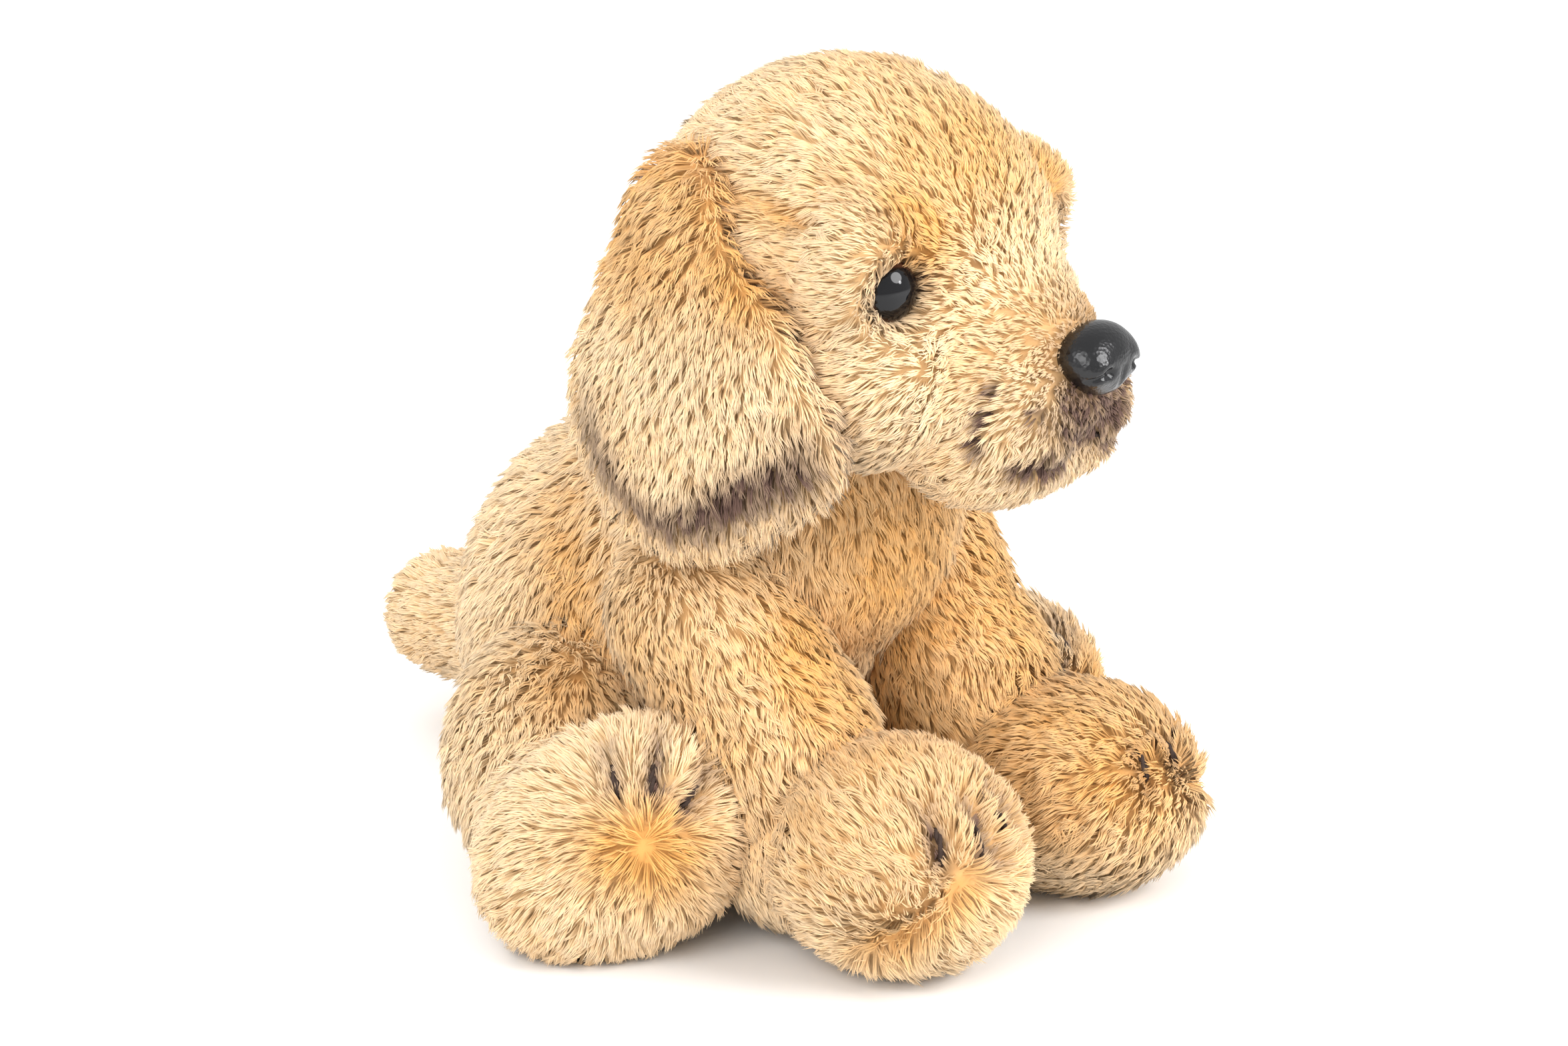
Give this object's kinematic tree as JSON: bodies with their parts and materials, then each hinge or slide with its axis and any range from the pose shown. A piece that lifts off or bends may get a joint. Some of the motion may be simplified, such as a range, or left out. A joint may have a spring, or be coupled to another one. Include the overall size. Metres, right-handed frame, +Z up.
{
  "type": "plush dog",
  "caption": "Sitting plush puppy in cream pile fabric, with hanging ears, safety eyes and nose, turning head, lifting front legs, splaying hind legs and a wagging tail.",
  "frame": {"origin": "middle of the flat patch under the rump that the puppy sits on", "axes": "+Z up, the puppy faces -Y, and its own left side is +X"},
  "size_m": [0.1608, 0.2058, 0.1718],
  "materials": {
    "plush": "long soft cream pile with golden roots",
    "lining": "short cream pile",
    "stuffing": "loose white polyester fibre",
    "pouch": "plain woven bag of plastic beans",
    "thread": "dark brown sewing thread",
    "eye": "polished black with a dark brown rim",
    "nose": "satin black with a fine leather grain",
    "washer": "plain white moulded"
  },
  "bodies": {
    "torso": {"belly_panel": "plush", "back_panel_left": "plush", "back_panel_right": "plush", "body_stuffing": "stuffing", "bean_pouch": "pouch"},
    "neck": {"neck_roll": "stuffing"},
    "head": {"head_centre_gusset": "plush", "chin_gusset": "plush", "head_side_left": "plush", "head_side_right": "plush", "head_stuffing": "stuffing", "mouth_thread": "thread", "nose": "nose", "nose_washer": "washer", "eye_left": "eye", "eye_right": "eye", "eye_washer_left": "washer", "eye_washer_right": "washer"},
    "ear_left": {"ear_outer_left": "plush", "ear_lining_left": "lining"},
    "ear_right": {"ear_outer_right": "plush", "ear_lining_right": "lining"},
    "front_leg_left": {"front_leg_left_outer": "plush", "front_leg_left_inner": "plush", "front_leg_left_sole": "plush", "front_leg_left_stuffing": "stuffing", "front_leg_left_toe_threads": "thread"},
    "front_leg_right": {"front_leg_right_outer": "plush", "front_leg_right_inner": "plush", "front_leg_right_sole": "plush", "front_leg_right_stuffing": "stuffing", "front_leg_right_toe_threads": "thread"},
    "hind_leg_left": {"hind_leg_left_outer": "plush", "hind_leg_left_inner": "plush", "hind_leg_left_sole": "plush", "hind_leg_left_stuffing": "stuffing", "hind_leg_left_toe_threads": "thread"},
    "hind_leg_right": {"hind_leg_right_outer": "plush", "hind_leg_right_inner": "plush", "hind_leg_right_sole": "plush", "hind_leg_right_stuffing": "stuffing", "hind_leg_right_toe_threads": "thread"},
    "tail": {"tail_upper": "plush", "tail_under": "plush", "tail_stuffing": "stuffing"}
  },
  "joints": [
    {"name": "head_turn", "type": "hinge", "parent": "torso", "child": "neck", "pos_m": [0, -0.0547, 0.1304], "axis": [0, 0, 1], "range_deg": [-26, 2]},
    {"name": "head_nod", "type": "hinge", "parent": "neck", "child": "head", "pos_m": [0, -0.0547, 0.1304], "axis": [0.9744, 0.225, 0], "range_deg": [-8, 8]},
    {"name": "ear_lift_left", "type": "hinge", "parent": "head", "child": "ear_left", "pos_m": [0.01754, -0.02397, 0.1506], "axis": [0.225, -0.9744, 0], "range_deg": [0, 60]},
    {"name": "ear_lift_right", "type": "hinge", "parent": "head", "child": "ear_right", "pos_m": [-0.02923, -0.03477, 0.1506], "axis": [-0.225, 0.9744, 0], "range_deg": [0, 60]},
    {"name": "front_leg_lift_left", "type": "hinge", "parent": "torso", "child": "front_leg_left", "pos_m": [0.0275, -0.0382, 0.062], "axis": [-0.9816, -0.1908, 0], "range_deg": [0, 30]},
    {"name": "front_leg_lift_right", "type": "hinge", "parent": "torso", "child": "front_leg_right", "pos_m": [-0.0275, -0.0432, 0.062], "axis": [-0.9816, -0.1908, 0], "range_deg": [0, 30]},
    {"name": "hind_leg_splay_left", "type": "hinge", "parent": "torso", "child": "hind_leg_left", "pos_m": [0.0395, -0.01, 0.032], "axis": [0, 0, 1], "range_deg": [0, 20]},
    {"name": "hind_leg_splay_right", "type": "hinge", "parent": "torso", "child": "hind_leg_right", "pos_m": [-0.0395, -0.01, 0.032], "axis": [0, 0, -1], "range_deg": [0, 20]},
    {"name": "tail_wag", "type": "hinge", "parent": "torso", "child": "tail", "pos_m": [0, 0.0383, 0.028], "axis": [0, 0, 1], "range_deg": [-20, 20]}
  ]
}
